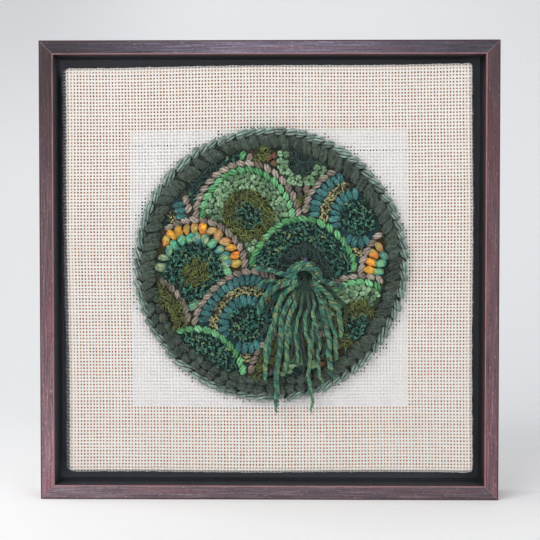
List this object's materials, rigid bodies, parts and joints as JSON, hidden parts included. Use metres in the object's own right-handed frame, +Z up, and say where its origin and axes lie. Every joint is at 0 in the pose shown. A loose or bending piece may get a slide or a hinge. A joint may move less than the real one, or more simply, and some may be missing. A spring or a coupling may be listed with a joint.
{
  "type": "framed fiber art panel",
  "caption": "Square open-weave cloth panel with a round hooked-yarn relief and a yarn tassel, set in a deep stained-wood floater frame.",
  "frame": {"origin": "middle of the bottom rail's underside, half-way through the frame's depth", "axes": "+Z up, +X to the right seen from the front, the picture side faces -Y"},
  "size_m": [0.287, 0.0467, 0.287],
  "materials": {
    "stained_wood": "dark purplish-brown stain rubbed into the grain, satin, with worn inner corners",
    "board_wood": "bare orange-brown board, matt",
    "lining": "pale plain cloth, matt",
    "open_weave": "off-white open plain weave, matt",
    "hooked_yarn": "hooked wool and silk yarns in greens, teal, taupe, gold and mint",
    "dark_roving": "thick soft dark green roving in loops",
    "rim_yarn": "plied grey-green yarn in chain stitches",
    "tassel_yarn": "plied teal, green and gold flecked yarn"
  },
  "bodies": {
    "root": {"frame_rail_bottom": "stained_wood", "frame_rail_left": "stained_wood", "frame_rail_top": "stained_wood", "frame_rail_right": "stained_wood", "stretcher_board": "board_wood", "lining_patch": "lining", "cloth_panel": "open_weave", "shell_crown_left": "hooked_yarn", "shell_crown_right": "hooked_yarn", "shell_upper_far_left": "hooked_yarn", "shell_upper_left": "hooked_yarn", "shell_upper_right": "hooked_yarn", "shell_middle_left": "hooked_yarn", "shell_middle": "hooked_yarn", "shell_middle_right": "hooked_yarn", "shell_lower_far_left": "hooked_yarn", "shell_lower_left": "hooked_yarn", "shell_lower_right": "hooked_yarn", "shell_foot_left": "hooked_yarn", "shell_foot_right": "hooked_yarn", "border_loops": "dark_roving", "rim_chain": "rim_yarn", "tassel": "tassel_yarn"}
  },
  "joints": []
}
